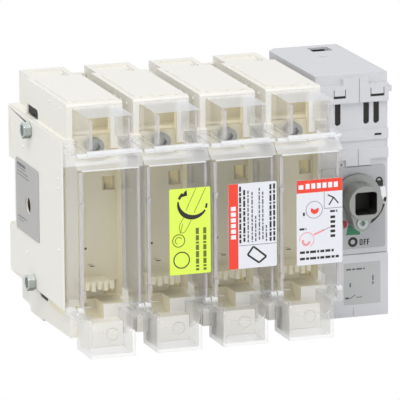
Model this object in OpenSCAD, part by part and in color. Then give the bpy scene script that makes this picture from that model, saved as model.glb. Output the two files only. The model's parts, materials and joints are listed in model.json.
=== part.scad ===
// Four-pole fuse switch disconnector with a shaft-driven mechanism on the right.
// Frame: X runs along the poles to the right, -Y is the front, +Z is up.
// The origin is the centre of the four panel holes, on the back plane (Y = 0).
// The model stands with the switch OFF and all covers shut.

/* [Poles] */
// Distance from one pole to the next
pole_pitch = 36; // [35:0.5:40]
// Play between the housings of two poles
pole_play = 0.1; // [0.05:0.05:0.3]
// Height of the wide middle part above the origin
mid_top = 47; // [46.5:0.5:49]
// Depth of the wide middle part below the origin
mid_bottom = 43; // [42.5:0.5:45]
// Height of the upper tower above the origin
tower_top = 64.8; // [64:0.2:68]
// Depth of the lower tower below the origin
tower_bottom = 60.5; // [60:0.1:61.5]
// Width of the upper and lower towers
tower_w = 30.2; // [29:0.2:31]
// Front of the terminal blocks, from the back plane
body_d = 98; // [97:0.5:99]
// How far the partition walls of the fuse chambers stand behind the front
partition_step = 11; // [10:0.5:12]
// How far the upper towers stand behind the front
tower_step = 3; // [1:0.5:4]
// Outer wall of a pole housing
wall = 1.6; // [1.4:0.1:1.8]

/* [Fuse chambers] */
// Underside of the upper terminal block above the origin
chamber_top = 33; // [32.5:0.5:34]
// Top of the lower terminal block below the origin
chamber_bottom = 41.2; // [41:0.1:41.4]
// Depth of the fuse chamber behind the partition walls
chamber_d = 7.5; // [6:0.5:8]
// Side of a square clip window in the back wall
window = 7.4; // [7:0.1:7.6]
// Sideways place of the clip windows from the pole's middle
window_x = 12.2; // [11.8:0.1:12.4]
// Height of the upper clip window
upper_window_z = 18.5; // [17:0.5:20]
// Height of the lower clip window
lower_window_z = -37; // [-37.2:0.1:-36.8]

/* [Fuse covers] */
// Width of a clear fuse cover
cover_w = 35.4; // [34.6:0.1:35.4]
// Wall of a clear fuse cover
cover_wall = 1.6; // [1.2:0.1:2]
// Depth of the fuse covers in front of the terminal blocks
cover_depth = 23.5; // [23:0.1:24]
// Top of the main front face of a cover
cover_face_top = 36.2; // [35:0.2:38]
// Top of a cover
cover_top = 42.2; // [41:0.1:42.2]
// Depth of the finger slope at the top of a cover
slope_d = 7.6; // [6:0.2:9]
// Height of the cover hinge axis below the origin
hinge_z = -39.1; // [-39.3:0.1:-38.9]
// Radius of the rolled lower edge round the hinge axis
roll_r = 2.8; // [2.6:0.1:2.9]
// Radius of a hinge pin
hinge_pin_r = 1.1; // [0.9:0.1:1.3]
// Radial running play of turning parts
running_play = 0.08; // [0.05:0.01:0.1]

/* [Terminal hoods] */
// Width of a clear terminal hood
hood_w = 24.4; // [23:0.2:25]
// Depth of the terminal hoods in front of the terminal blocks
hood_depth = 25; // [24.5:0.1:26]
// Inner end of a hood, from mid height
hood_in = 44.6; // [44.4:0.1:44.8]
// Thickness of the shelf at the inner end of a hood
shelf_t = 1.8; // [1.4:0.1:2]
// Outer end of a hood, from mid height
hood_out = 63.2; // [62:0.2:64]
// Wall of a hood
hood_wall = 1.5; // [1.2:0.1:2]

/* [Terminals] */
// Width of a terminal lug
lug_w = 16.8; // [15:0.2:16.8]
// Thickness of the copper bars
bar_t = 2.5; // [2:0.1:3]
// Radius of the terminal screws
screw_r = 3; // [2.5:0.1:3.5]
// Height of the upper terminal screw
upper_screw_z = 42; // [41:0.5:43]
// Height of the lower terminal screw
lower_screw_z = -53.1; // [-53.3:0.1:-53]
// Radius of the lower terminal screws
lower_screw_r = 1.8; // [1.5:0.1:1.9]
// Sideways place of the lower terminal screw
lower_screw_x = 4.8; // [3:0.2:5]

/* [Switching bar] */
// Side of the square switching bar
bar_side = 9; // [8:0.5:10]
// Switching bar axis, from the back plane
bar_y = 38; // [37:0.5:39]
// Swing of the switching bar between OFF and ON
bar_swing = 30; // [26:1:32]
// Radius of the rotor journals
journal_r = 8.5; // [8:0.1:9]
// Reach of the rotor arms
arm_len = 27; // [25:0.5:28]

/* [Tie rods] */
// Radius of the tie rods
tie_r = 2.5; // [2:0.1:2.6]
// Height of the upper tie rod above the origin
tie_top_z = 41.3; // [41:0.1:42]
// Height of the lower tie rod below the origin
tie_bottom_z = 39.6; // [39:0.1:39.8]
// Upper tie rod axis, from the back plane
tie_top_y = 42; // [41:0.5:43]
// Lower tie rod axis, from the back plane
tie_bottom_y = 46; // [45:0.5:47]
// Width across flats of the tie rod nuts
nut_af = 8; // [7:0.5:9]

/* [Mechanism] */
// Width of the mechanism
mech_w = 40; // [39:0.5:44]
// Depth of the mechanism
mech_d = 80.5; // [79:0.5:83]
// Height of the mechanism above the origin
mech_top = 66; // [65.5:0.5:68]
// Bottom of the mechanism below the origin
mech_bottom = 65; // [64.6:0.1:65.2]
// Thickness of the front moulding
front_t = 12; // [11:0.5:14]
// Underside of the contact cap above the origin
cap_z = 51; // [50.5:0.5:52]
// Top of the ledge along the front of the contact cap
cap_ledge_z = 60.4; // [59:0.2:61]
// Top of the fascia above the origin
fascia_top = 16.4; // [14:0.2:16.8]
// Bottom of the fascia below the origin
fascia_bottom = 27.8; // [26:0.2:30]
// Wall of the mechanism case
case_wall = 2.5; // [2:0.1:3]

/* [Coupling] */
// Sideways place of the coupling axis from the mechanism's left side
coupling_x = 21.8; // [21:0.2:23]
// Radius of the coupling flange
flange_r = 13; // [12:0.2:13.2]
// Radius of the coupling barrel
barrel_r = 9.3; // [9.2:0.1:9.6]
// Front of the coupling barrel, from the back plane
barrel_front = 96; // [94:0.5:100]
// Side of the square shaft socket
socket_side = 12.2; // [12:0.1:12.4]
// Depth of the shaft socket
socket_d = 12; // [9:0.5:12.5]
// Eccentricity of the drive pin
crank_r = 8; // [7.5:0.1:8.2]

/* [Panel holes] */
// Radius of a panel hole
panel_hole_r = 2.75; // [2:0.05:3]
// Half the height between the panel holes
panel_z = 55; // [54:0.5:57]
// Thickness of a panel lug
lug_t = 4; // [3:0.5:5]

/* [Hidden] */
$fn = 48;
// Clearance between pieces that are screwed or clipped together
seat = 0.2;
// Clearance between pieces that move past each other
gap = 0.4;
// Overrun of a cut past the face that it opens
over = 1;
partition_d = body_d - partition_step;
tower_d = body_d - tower_step;
cover_front = body_d + cover_depth;
hood_front = body_d + hood_depth;
pole_w = pole_pitch - pole_play;
poles_left = -2 * pole_pitch;
poles_right = 2 * pole_pitch;
// Housing floor between the fuse chamber and the switch chamber behind it
chamber_back = partition_d - chamber_d;
partition = 2.5;
// Switch chamber behind the fuse chamber, open on the left side of the pole
switch_top = 36;
switch_bottom = -35.5;
switch_front = chamber_back - partition;
switch_back = 15;
// Recess across the back of the poles
back_recess_d = 12.5;
back_recess_z = [-17, 19];
// Terminal chambers in the towers
tc_w = 24;
tc_d = 8;
tc_back = body_d - tc_d;
tc_low = chamber_top + wall;
tc_high = tower_top - 2.4;
ltc_low = -56.8;
ltc_high = -49.8;
// Bay beside the lower terminal, open to the fuse chamber
bay_x = [-12.5, 2.8];
bay_back = body_d - 14;
bay_floor = ltc_high + 1.2;
bay_ramp = 8;
// Height of the knock-out over the lower terminal screw
knock_z = -55.3;
// Rest with its fingers
rest_x = [-6, 9.4];
rest_d = body_d - 4;
rest_z = -30.4;
finger_count = 5;
finger_pitch = (rest_x[1] - rest_x[0]) / (finger_count - 0.38);
// Fixed contacts: front pads of the upper arms and rear pads of the lower arms
pad_offset = 12;
pad_w = 8;
pad_x = 7;
pad_low = 14;
pad_high = 27;
upper_bar_z = 45;
lower_bar_z = -50;
// Clip jaws behind the windows
jaw_gap = 3;
jaw_depth = 17;
jaw_base_y = switch_front - jaw_depth;
// Underside of the bar behind the lower clip
clip_bar_z = switch_bottom + 0.3;
// Nose of the lower tower that fills the bottom of the shroud
lower_nose_d = body_d + 8;
nose_top = bay_floor;
// Hinge axis of the covers, concentric with the rolled edge
hinge_y = cover_front - roll_r;
ear_t = 3;
ear_room = roll_r + gap;
// Outer ends of the knuckles, which leave room for the ears
cover_roll_w = cover_w - 2 * ear_t - 2 * gap;
// Inner ends of the knuckles, clear of the opening in the shelf
knuckle_x = hood_w / 2 - hood_wall + 0.3;
cover_back = body_d + 0.6;
cover_bottom = hinge_z - roll_r;
// Corner taken off the lower front edge, which swings past the shroud's shelf
foot_cut = 1.2;
// Underside of the upper shelf, which the top of the cover swings past
shelf_z = hood_in - shelf_t;
cover_swing_r = shelf_z - gap - hinge_z;
// Part of the cover's sides that reaches into the fuse chamber
tab_back = partition_d + 0.8;
tab_low = -mid_bottom + 7.6;
tab_high = chamber_top - 4.5;
// Arms of the rotors
arm_w = 12;
arm_t = 11;
// Sides of the mechanism
mech_left = poles_right + seat;
mech_right = mech_left + mech_w;
axis_x = mech_left + coupling_x;
front_back = mech_d - front_t;
// Relief beside a panel lug at the back of the towers
relief_d = 22;
relief_in = tower_w / 2 - 3;
// Ball on the drive pin, and the fork that holds it at every angle of the quarter turn
ball_r = 2.6;
fork_play = 0.42;
fork_h = 2 * (ball_r + fork_play) + 4;
ball_y = bar_y + crank_r * sin(45) / tan(bar_swing / 2);
fork_len = crank_r * sin(45) / sin(bar_swing / 2);
shaft_r = 6;
// End plate and the label on it
plate_t = 1.1;
plate_bottom = mid_bottom;
plate_d = body_d + 0.8;
plate_back = 2;
label_t = 0.3;
// Half the depth of the data label round the bar's hole
label_reach = 19.5;
nut_t = 4.2;
// Front of the mechanism: two bands, the groove between them and a flap under the lower one
band_high = [30.5, 36];
band_low = [20.4, 25.9];
flap_x = [-5.6, 8.2];
flap_low = 17;
// Bottom of the front moulding, where the lower front cover begins
front_low = -31;
// Middle block of the contact cap
block_x = [-7.1, 7];
lid_d = mech_d - 2;
// Clamping lug of the coupling, with its screw
clamp_x = -0.8;
clamp_z = -11.4;
clamp_r = 4.6;
clamp_front = barrel_front - 4;
clamp_screw_r = 3;

function pole_x(i) = (i - 2.5) * pole_pitch;

// A block from its limits along the three axes
module slab(x, y, z) {
    translate([x[0], y[0], z[0]]) cube([x[1] - x[0], y[1] - y[0], z[1] - z[0]]);
}

// A block centred on X = 0
module mid_slab(w, y, z) {
    slab([-w / 2, w / 2], y, z);
}

// A flat shape drawn as (Y, Z) and carried along X
module along_x(x) {
    translate([x[0], 0, 0]) rotate([90, 0, 90]) linear_extrude(x[1] - x[0]) children();
}

// A flat shape drawn as (X, Z) and carried from depth y[0] forward to depth y[1]
module along_y(y) {
    translate([0, -y[0], 0]) rotate([90, 0, 0]) linear_extrude(y[1] - y[0]) children();
}

// A flat shape drawn as (X, Y) and carried upward
module along_z(z) {
    translate([0, 0, z[0]]) linear_extrude(z[1] - z[0]) children();
}

// A rectangle with round corners, from its limits
module round_rect(u, v, r) {
    translate([u[0] + r, v[0]]) square([u[1] - u[0] - 2 * r, v[1] - v[0]]);
    translate([u[0], v[0] + r]) square([u[1] - u[0], v[1] - v[0] - 2 * r]);
    for (a = [u[0] + r, u[1] - r], b = [v[0] + r, v[1] - r]) translate([a, b]) circle(r);
}

// A hole or a pin along Y between two depths
module bore_y(x, z, r, y) {
    translate([x, -y[0], z]) rotate([90, 0, 0]) cylinder(r = r, h = y[1] - y[0]);
}

// A hole or a pin along X
module bore_x(y, z, r, x) {
    translate([x[0], -y, z]) rotate([0, 90, 0]) cylinder(r = r, h = x[1] - x[0]);
}

// Places its children in pole i
module in_pole(i) {
    translate([pole_x(i), 0, 0]) children();
}

// Turns its children with the switching bar, by the angle a from the ON position
module on_bar(a) {
    translate([0, -bar_y, 0]) rotate([a, 0, 0]) translate([0, bar_y, 0]) children();
}

// Side outline of a pole housing, drawn as depth and height
module pole_outline() {
    round_rect([-tower_d, 0], [mid_top - 4, tower_top], 1.2);
    translate([-partition_d, -mid_bottom]) square([partition_d, mid_top + mid_bottom]);
    translate([-body_d, chamber_top]) square([body_d, mid_top - chamber_top]);
    translate([-body_d, -mid_bottom]) square([body_d, mid_bottom - chamber_bottom]);
    // Lower tower with its steps, down to the nose in the shroud
    polygon([
        [0, -mid_bottom], [0, -tower_bottom + 0.9], [-15, -tower_bottom + 0.9],
        [-15, -tower_bottom + 2.9], [-25, -tower_bottom + 2.9], [-25, -tower_bottom],
        [-48, -tower_bottom], [-48, -tower_bottom + 1.2], [-body_d, -tower_bottom + 2.8],
        [-body_d, -hood_out], [-lower_nose_d, -hood_out], [-lower_nose_d, nose_top],
        [-body_d, nose_top], [-body_d, -mid_bottom]
    ]);
}

// Outer block of one pole: a wide middle with a narrower tower at each end
module pole_block() {
    intersection() {
        along_x([-pole_w / 2, pole_w / 2]) pole_outline();
        union() {
            mid_slab(pole_w, [-body_d, 0], [-mid_bottom, mid_top]);
            mid_slab(tower_w, [-tower_d, 0], [mid_top - over, tower_top]);
            mid_slab(tower_w, [-body_d, 0], [-tower_bottom, -mid_bottom + over]);
            mid_slab(hood_w - 2 * hood_wall - 2 * seat, [-lower_nose_d, -body_d + over],
                [-hood_out + hood_wall + seat, nose_top]);
        }
    }
}

// Raised roof of the upper tower with its set-back edge
module tower_roof() {
    translate([0, 0, tower_top - over])
        linear_extrude(over + 0.7) round_rect([-12.5, 12.5], [-90, -30], 1.5);
}

// Panel lugs at the back, on the right side of poles 1 and 3, reaching into the next pole's relief
module panel_lugs() {
    lug_end = pole_pitch - relief_in - seat;
    lug_tip = panel_z + 6;
    slab([relief_in - over, pole_w / 2], [-lug_t, 0], [mid_top - over, lug_tip]);
    slab([pole_w / 2 - over, lug_end], [-lug_t, 0], [mid_top + seat, lug_tip]);
    slab([relief_in - over, pole_w / 2], [-lug_t, 0], [-lug_tip, -mid_bottom + over]);
    slab([pole_w / 2 - over, lug_end], [-lug_t, 0], [-lug_tip, -mid_bottom - seat]);
}

module pole_base(i) {
    has_lugs = i % 2 == 1;
    in_pole(i) color("ivory") difference() {
        union() {
            difference() {
                pole_block();
                for (s = [-1, 1]) relief_cut(s);
            }
            tower_roof();
            if (has_lugs) panel_lugs();
            wall_pips();
        }
        fuse_chamber();
        switch_chamber();
        upper_terminal_chamber();
        lower_terminal_chamber();
        tie_holes([-pole_w, pole_w]);
        if (has_lugs) panel_hole_cut();
        bore_x(bar_y, 0, journal_r + running_play, [pole_w / 2 - wall - over, pole_w / 2 + over]);
        roof_recess();
        side_pocket();
        // Recess across the back
        slab([-pole_w, pole_w], [-back_recess_d, over], back_recess_z);
    }
    in_pole(i) color("ivory") chamber_fittings();
}

// Room for a screw head beside the panel lugs
module relief_cut(s) {
    x = s > 0 ? [relief_in, pole_w] : [-pole_w, -relief_in];
    slab(x, [-relief_d, over], [mid_top, tower_top + over]);
    slab(x, [-relief_d, over], [-tower_bottom - over, -mid_bottom]);
}

// Small locating pips along the upper left edge of a tower
module wall_pips() {
    for (y = [64, 74, 84]) bore_x(y, tower_top - 4, 0.8, [-tower_w / 2 - 0.5, 0]);
}

// The open fuse chamber behind the clear cover
module fuse_chamber() {
    w = pole_w - 2 * wall;
    along_y([chamber_back, body_d + over])
        round_rect([-w / 2, w / 2], [-chamber_bottom, chamber_top], 1);
    for (z = [upper_window_z, lower_window_z])
        slab([window_x - window / 2, window_x + window / 2],
            [-chamber_back - over, -switch_front + over], [z - window / 2, z + window / 2]);
    // Small blind marks in the back wall
    slab([-3.6, -2], [-chamber_back - over, -chamber_back + 1.5], [-15, -13.4]);
    slab([0.2, 2.6], [-chamber_back - over, -chamber_back + 1], [-24.5, -23.8]);
}

// The switch chamber, closed by the next pole's right wall or by the end plate
module switch_chamber() {
    slab([-pole_w, pole_w / 2 - wall], [-switch_front, -switch_back], [switch_bottom, switch_top]);
    // Pocket for the lower clip, below the floor of the switch chamber
    slab([window_x - window / 2, window_x + window / 2],
        [-switch_front - over, -jaw_base_y + bar_t + seat],
        [lower_window_z - window / 2, switch_bottom + over]);
    // Slots for the bars from the terminals
    x = [-pad_x - pad_w / 2 - seat, -pad_x + pad_w / 2 + seat];
    front = bar_y + pad_offset + bar_t;
    back = bar_y - pad_offset;
    slab(x, [-tc_back - over, -front + bar_t],
        [upper_bar_z - seat, upper_bar_z + bar_t + seat]);
    slab(x, [-front - seat, -front + bar_t + seat], [switch_top - over, upper_bar_z + bar_t + seat]);
    slab(x, [-tc_back - over, -back + bar_t + seat],
        [lower_bar_z - bar_t - seat, lower_bar_z + seat]);
    slab(x, [-back - seat, -back + bar_t + seat], [lower_bar_z - bar_t - seat, switch_bottom + over]);
}

module upper_terminal_chamber() {
    along_y([tc_back, body_d + over])
        round_rect([-tc_w / 2, tc_w / 2], [tc_low, tc_high], 1.5);
    // Deeper pocket above the terminal
    along_y([tc_back - 8, tc_back + over])
        round_rect([-tc_w / 2, tc_w / 2], [upper_bar_z + bar_t + 1.5, tc_high], 1.5);
}

module lower_terminal_chamber() {
    along_y([tc_back, body_d - 1])
        round_rect([-tc_w / 2 + 0.4, tc_w / 2 - 0.4], [ltc_low, ltc_high], 1);
    // Bay, with a ramp at its foot
    along_x(bay_x) difference() {
        translate([-body_d - over, bay_floor])
            square([body_d + over - bay_back, -chamber_bottom + over - bay_floor]);
        translate([-bay_back - bay_ramp, bay_floor]) difference() {
            square(bay_ramp);
            translate([0, bay_ramp]) circle(bay_ramp);
        }
    }
    slab([-3.2, -2.4], [-bay_back - over, -bay_back + 1.5], [bay_floor + 3, bay_floor + 6]);
    // Round knock-out over the terminal screw
    difference() {
        bore_y(lower_screw_x, knock_z, 3.4, [lower_nose_d - 0.6, lower_nose_d + over]);
        bore_y(lower_screw_x, knock_z, 3, [lower_nose_d - 1, lower_nose_d + 2 * over]);
    }
}

// Ribs, gussets and the fingered lip that stand in the chambers
module chamber_fittings() {
    // Upright post with a curved foot beside the upper terminal
    intersection() {
        slab([tc_w / 2 - 3.4, tc_w / 2], [-tower_d, -tc_back], [tc_low, tc_high]);
        along_x([tc_w / 2 - 3.4, tc_w / 2]) difference() {
            translate([-tower_d, tc_low]) square([tower_d - tc_back, tc_high - tc_low]);
            translate([-tower_d, tc_low]) circle(6);
        }
    }
    // Rest under the fuse, with fingers along its front
    slab(rest_x, [-rest_d, -chamber_back + over], [rest_z - 1.6, rest_z]);
    slab([rest_x[0] + 1, rest_x[0] + 2.6], [-rest_d + 6, -chamber_back + over],
        [-chamber_bottom - over, rest_z - 1]);
    for (k = [0:finger_count - 1]) slab(
        [rest_x[0] + finger_pitch * k, rest_x[0] + finger_pitch * (k + 0.62)],
        [-rest_d - 1.6, -rest_d + over],
        [rest_z - 3.4 - 0.9 * (k % 2), rest_z + 0.8]);
    // Sill under the lower clip window
    slab([window_x - window / 2 - 1, pole_w / 2 - wall + over], [-chamber_back - 1.4, -chamber_back + over],
        [lower_window_z - window / 2 - 0.4, lower_window_z - window / 2]);
}

// Through holes of the two tie rods
module tie_holes(x) {
    bore_x(tie_top_y, tie_top_z, tie_r + 0.1, x);
    bore_x(tie_bottom_y, -tie_bottom_z, tie_r + 0.1, x);
}

module panel_hole_cut() {
    for (z = [-panel_z, panel_z]) bore_y(pole_pitch / 2, z, panel_hole_r, [-over, lug_t + over]);
}

// Shallow recess at the back of the roof
module roof_recess() {
    translate([0, 0, tower_top - 1.2]) linear_extrude(3) round_rect([-9, 9], [-23, -6], 1);
}

// Arched pocket in the left side of the tower, above the tie rod nut
module side_pocket() {
    along_x([-tower_w / 2 - over, -tower_w / 2 + 3.4]) {
        round_rect([-tie_top_y - 2, -tie_top_y + 17], [mid_top - 1, mid_top + 4.8], 2.4);
        translate([-tie_top_y + 5, mid_top - 1]) square([12, 5.8]);
    }
    // Pocket below the lower tie rod nut
    along_x([-tower_w / 2 - over, -tower_w / 2 + 3.4])
        round_rect([-tie_bottom_y - 12, -tie_bottom_y + 3], [-mid_bottom - 5, -mid_bottom - 0.2], 2.2);
}

// A clear box over the fuse chamber, hinged on knuckles at its lower corners
module fuse_cover(i) {
    in_pole(i) color("lightgray", 0.5) {
        cover_shell();
        for (s = [-1, 1]) {
            x = s > 0 ? [knuckle_x, cover_roll_w / 2] : [-cover_roll_w / 2, -knuckle_x];
            bore_x(hinge_y, hinge_z, roll_r, x);
            bore_x(hinge_y, hinge_z, hinge_pin_r, [x[0] - (s < 0 ? ear_t : 0), x[1] + (s > 0 ? ear_t : 0)]);
        }
        cover_grip();
    }
}

// Side outline of a cover, drawn as depth and height, with a wall t taken off
module cover_outline(t) {
    intersection() {
        polygon([
            [-cover_back, cover_bottom - (t > 0 ? over : 0)], [-cover_back, cover_top - t],
            [-(cover_front - slope_d), cover_top - t],
            [-(cover_front - t), cover_face_top - 0.4 * t],
            [-(cover_front - t), cover_bottom + foot_cut],
            [-(cover_front - foot_cut - t), cover_bottom - (t > 0 ? over : 0)]
        ]);
        // The top follows the swing, so that it passes under the hood's shelf
        translate([-hinge_y, hinge_z]) circle(cover_swing_r - t, $fn = 128);
    }
    translate([-cover_back - over, tab_low]) square([cover_back - tab_back + over, tab_high - tab_low]);
}

module cover_shell() {
    inner = cover_w - 2 * cover_wall;
    difference() {
        along_x([-cover_w / 2, cover_w / 2]) cover_outline(0);
        along_x([-inner / 2, inner / 2]) cover_outline(cover_wall);
        // Open back
        mid_slab(inner, [-cover_back - over, -tab_back + over],
            [cover_bottom - over, cover_top - 4.4]);
        // Lower corners cleared for the ears and the knuckles
        for (s = [-1, 1]) slab(s > 0 ? [cover_roll_w / 2, cover_w] : [-cover_w, -cover_roll_w / 2],
            [-cover_front - over, -hinge_y + ear_room], [cover_bottom - over, hinge_z + ear_room]);
        for (s = [-1, 1]) slab(s > 0 ? [knuckle_x, cover_w] : [-cover_w, -knuckle_x],
            [-cover_front - over, -hinge_y], [cover_bottom - over, hinge_z]);
    }
}

// Snap bar over the finger slope of the cover
module cover_grip() {
    slab([0, cover_w / 2 - 3], [-cover_front + 0.6, -cover_front + slope_d + 0.5],
        [cover_top - 1.6, cover_top - 0.4]);
}

// A clear hood over a terminal; side is 1 for the top and -1 for the bottom
module terminal_cap(side) {
    // The hood is closed at its outer end and open towards the middle and the back
    low = side > 0 ? hood_in : -hood_out;
    high = side > 0 ? hood_out : -hood_in;
    back = side > 0 ? tower_d + seat : body_d + seat;
    inner = hood_w - 2 * hood_wall;
    difference() {
        along_z([low, high]) round_rect([-hood_w / 2, hood_w / 2], [-hood_front, -back], 1);
        slab([-inner / 2, inner / 2], [-hood_front + hood_wall, -back + over],
            side > 0 ? [low - over, high - hood_wall] : [low + hood_wall, high + over]);
        // Stops short of the wider terminal block
        slab([-hood_w, hood_w], [-body_d - seat, -back + over],
            [low - over, side > 0 ? mid_top + seat : high + over]);
    }
}

module terminal_hood(i) {
    in_pole(i) color("lightgray", 0.5) {
        terminal_cap(1);
        hood_rim();
        hood_shelf(1);
    }
}

// Turned-out rim round the inner end of the upper hood
module hood_rim() {
    rim_w = hood_w + 2;
    difference() {
        mid_slab(rim_w, [-hood_front - 0.8, -body_d - seat], [hood_in - 0.1, hood_in + 1.6]);
        mid_slab(hood_w - 2 * hood_wall, [-hood_front + hood_wall, -tower_d + over],
            [hood_in - over, hood_in + 3]);
    }
}

module terminal_shroud(i) {
    in_pole(i) color("lightgray", 0.5) difference() {
        union() {
            terminal_cap(-1);
            hood_shelf(-1);
            hinge_ears();
        }
        bore_x(hinge_y, hinge_z, hinge_pin_r + running_play, [-cover_w, cover_w]);
        // Front opening above the nose
        along_y([hood_front - hood_wall - over, hood_front + over])
            round_rect([-hood_w / 2 + hood_wall, hood_w / 2 - hood_wall],
                [nose_top - 1.4, -hood_in + 4], 3);
        // Slots along the shelf
        for (s = [-1, 1]) slab(s > 0 ? [cover_w / 2 - 4, cover_w / 2 - 2] : [2 - cover_w / 2, 4 - cover_w / 2],
            [-hinge_y + 8, -body_d - 3], [-hood_in - over, -shelf_z + over]);
    }
}

// Wide shelf at the inner end of a hood, open in the middle; side is 1 for the top
module hood_shelf(side) {
    z = side > 0 ? [shelf_z, hood_in + over] : [-hood_in - over, -shelf_z];
    inner = hood_w - 2 * hood_wall;
    difference() {
        union() {
            mid_slab(cover_w, [-cover_front + 0.8, -body_d - seat],
                side > 0 ? [shelf_z, hood_in] : [-hood_in, -shelf_z]);
            mid_slab(hood_w, [-hood_front, -body_d - seat], z);
        }
        mid_slab(inner, [-hood_front + hood_wall, -body_d + over], [z[0] - over, z[1] + over]);
    }
}

// Ears on the shelf that hold the hinge pins of the cover
module hinge_ears() {
    for (s = [-1, 1]) {
        x = s > 0 ? [cover_roll_w / 2 + gap, cover_roll_w / 2 + ear_t + gap]
            : [-cover_roll_w / 2 - ear_t - gap, -cover_roll_w / 2 - gap];
        along_x(x) {
            translate([-hinge_y, hinge_z]) circle(roll_r - 0.3);
            translate([-hinge_y - roll_r + 0.3, -hood_in + 0.2])
                square([2 * roll_r - 0.6, hinge_z + hood_in - 0.2]);
        }
    }
}

module upper_terminal(i) {
    pad_y = bar_y + pad_offset;
    in_pole(i) color("silver") difference() {
        union() {
            // Lug behind the hood
            mid_slab(lug_w, [-tc_back - bar_t, -tc_back], [tc_low + 1, upper_bar_z + bar_t]);
            // Bar to the back and down to the fixed contact
            slab([-pad_x - pad_w / 2, -pad_x + pad_w / 2], [-tc_back - bar_t, -pad_y],
                [upper_bar_z, upper_bar_z + bar_t]);
            slab([-pad_x - pad_w / 2, -pad_x + pad_w / 2], [-pad_y - bar_t, -pad_y],
                [pad_low, upper_bar_z + bar_t]);
        }
        bore_y(0, upper_screw_z, screw_r + 0.1, [tc_back - over, tc_back + bar_t + over]);
    }
}

module lower_terminal(i) {
    pad_y = bar_y - pad_offset;
    in_pole(i) color("silver") difference() {
        union() {
            mid_slab(lug_w, [-tc_back - bar_t, -tc_back], [ltc_low + 0.5, lower_bar_z]);
            slab([-pad_x - pad_w / 2, -pad_x + pad_w / 2], [-tc_back - bar_t, -pad_y + bar_t],
                [lower_bar_z - bar_t, lower_bar_z]);
            slab([-pad_x - pad_w / 2, -pad_x + pad_w / 2], [-pad_y, -pad_y + bar_t],
                [lower_bar_z - bar_t, -pad_low]);
        }
        bore_y(lower_screw_x, lower_screw_z, lower_screw_r + 0.1,
            [tc_back - over, tc_back + bar_t + over]);
    }
}

// Spring jaw of a fuse clip, open to the front behind its window
module jaw(z) {
    x0 = window_x - window / 2 + 0.3;
    x1 = window_x + window / 2 - 0.3;
    y0 = -switch_front + 0.5;
    y1 = -jaw_base_y;
    for (x = [[x0, x0 + 1.2], [x1 - 1.2, x1]])
        slab(x, [y0, y1], [z - window / 2 + 0.3, z + window / 2 - 0.3]);
    slab([x0, x1], [y1, y1 + bar_t], [z - window / 2 + 0.3, z + window / 2 - 0.3]);
}

module upper_fuse_clip(i) {
    pad_y = bar_y + pad_offset;
    z = upper_window_z;
    in_pole(i) color("silver") {
        jaw(z);
        slab([pad_x - pad_w / 2, window_x + window / 2 - 0.3], [-jaw_base_y, -pad_y - bar_t + 0.1],
            [z + window / 2 - 0.3 - bar_t, z + window / 2 - 0.3]);
        slab([pad_x - pad_w / 2, pad_x + pad_w / 2], [-pad_y - bar_t, -pad_y],
            [pad_low, pad_high]);
    }
}

module lower_fuse_clip(i) {
    pad_y = bar_y - pad_offset;
    in_pole(i) color("silver") {
        jaw(lower_window_z);
        slab([pad_x - pad_w / 2, window_x + window / 2 - 0.3], [-jaw_base_y, -pad_y],
            [clip_bar_z, clip_bar_z + bar_t]);
        slab([pad_x - pad_w / 2, pad_x + pad_w / 2], [-pad_y, -pad_y + bar_t],
            [clip_bar_z, -pad_low]);
    }
}

// Insulating rotor in the OFF position
module contact_rotor(i) {
    inner = pole_w / 2 - wall;
    in_pole(i) color("dimgray") on_bar(-bar_swing) difference() {
        union() {
            bore_x(bar_y, 0, journal_r, [-inner, pole_w / 2 - 0.3]);
            mid_slab(arm_w, [-bar_y - arm_t / 2, -bar_y + arm_t / 2], [-arm_len, arm_len]);
        }
        bar_hole([-pole_w, pole_w]);
        contact_seats();
    }
}

// Square hole for the switching bar
module bar_hole(x) {
    s = bar_side + 0.2;
    slab(x, [-bar_y - s / 2, -bar_y + s / 2], [-s / 2, s / 2]);
}

// Seats of the bridge contacts in the arms
module contact_seats() {
    bridge_pair(0.1);
}

// The two bridge contacts of a pole in the ON position, grown by g
module bridge_pair(g) {
    w = 2 * pad_x + pad_w;
    out = pad_offset - 0.3;
    mid_slab(w + 2 * g, [-bar_y - out - g, -bar_y - out + 3 + g], [pad_low + 4 - g, pad_low + 11 + g]);
    mid_slab(w + 2 * g, [-bar_y + out - 3 - g, -bar_y + out + g],
        [-pad_low - 11 - g, -pad_low - 4 + g]);
    mid_slab(4 + 2 * g, [-bar_y - out, -bar_y], [pad_low + 5.5 - g, pad_low + 9.5 + g]);
    mid_slab(4 + 2 * g, [-bar_y, -bar_y + out], [-pad_low - 9.5 - g, -pad_low - 5.5 + g]);
}

module moving_contacts() {
    for (i = [1:4]) in_pole(i) color("peru") on_bar(-bar_swing) bridge_pair(0);
}

module terminal_screws() {
    for (i = [1:4]) in_pole(i) color("dimgray") {
        terminal_screw(0, upper_screw_z, screw_r, 4.6);
        terminal_screw(lower_screw_x, lower_screw_z, lower_screw_r, 3.4);
    }
}

// Cheese-head screw with a socket, from the front
module terminal_screw(x, z, r, head_h) {
    y = tc_back + bar_t;
    difference() {
        union() {
            bore_y(x, z, r, [y - bar_t, y + 0.2]);
            bore_y(x, z, r + 1.5, [y + 0.1, y + head_h]);
        }
        translate([x, -y - head_h + 2.2, z]) rotate([90, 0, 0]) cylinder(r = r * 0.8, h = 5, $fn = 6);
    }
}

module switching_bar() {
    s = bar_side;
    color("darkgray") on_bar(-bar_swing)
        slab([poles_left + 2, axis_x + crank_r + 4], [-bar_y - s / 2, -bar_y + s / 2], [-s / 2, s / 2]);
}

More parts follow.
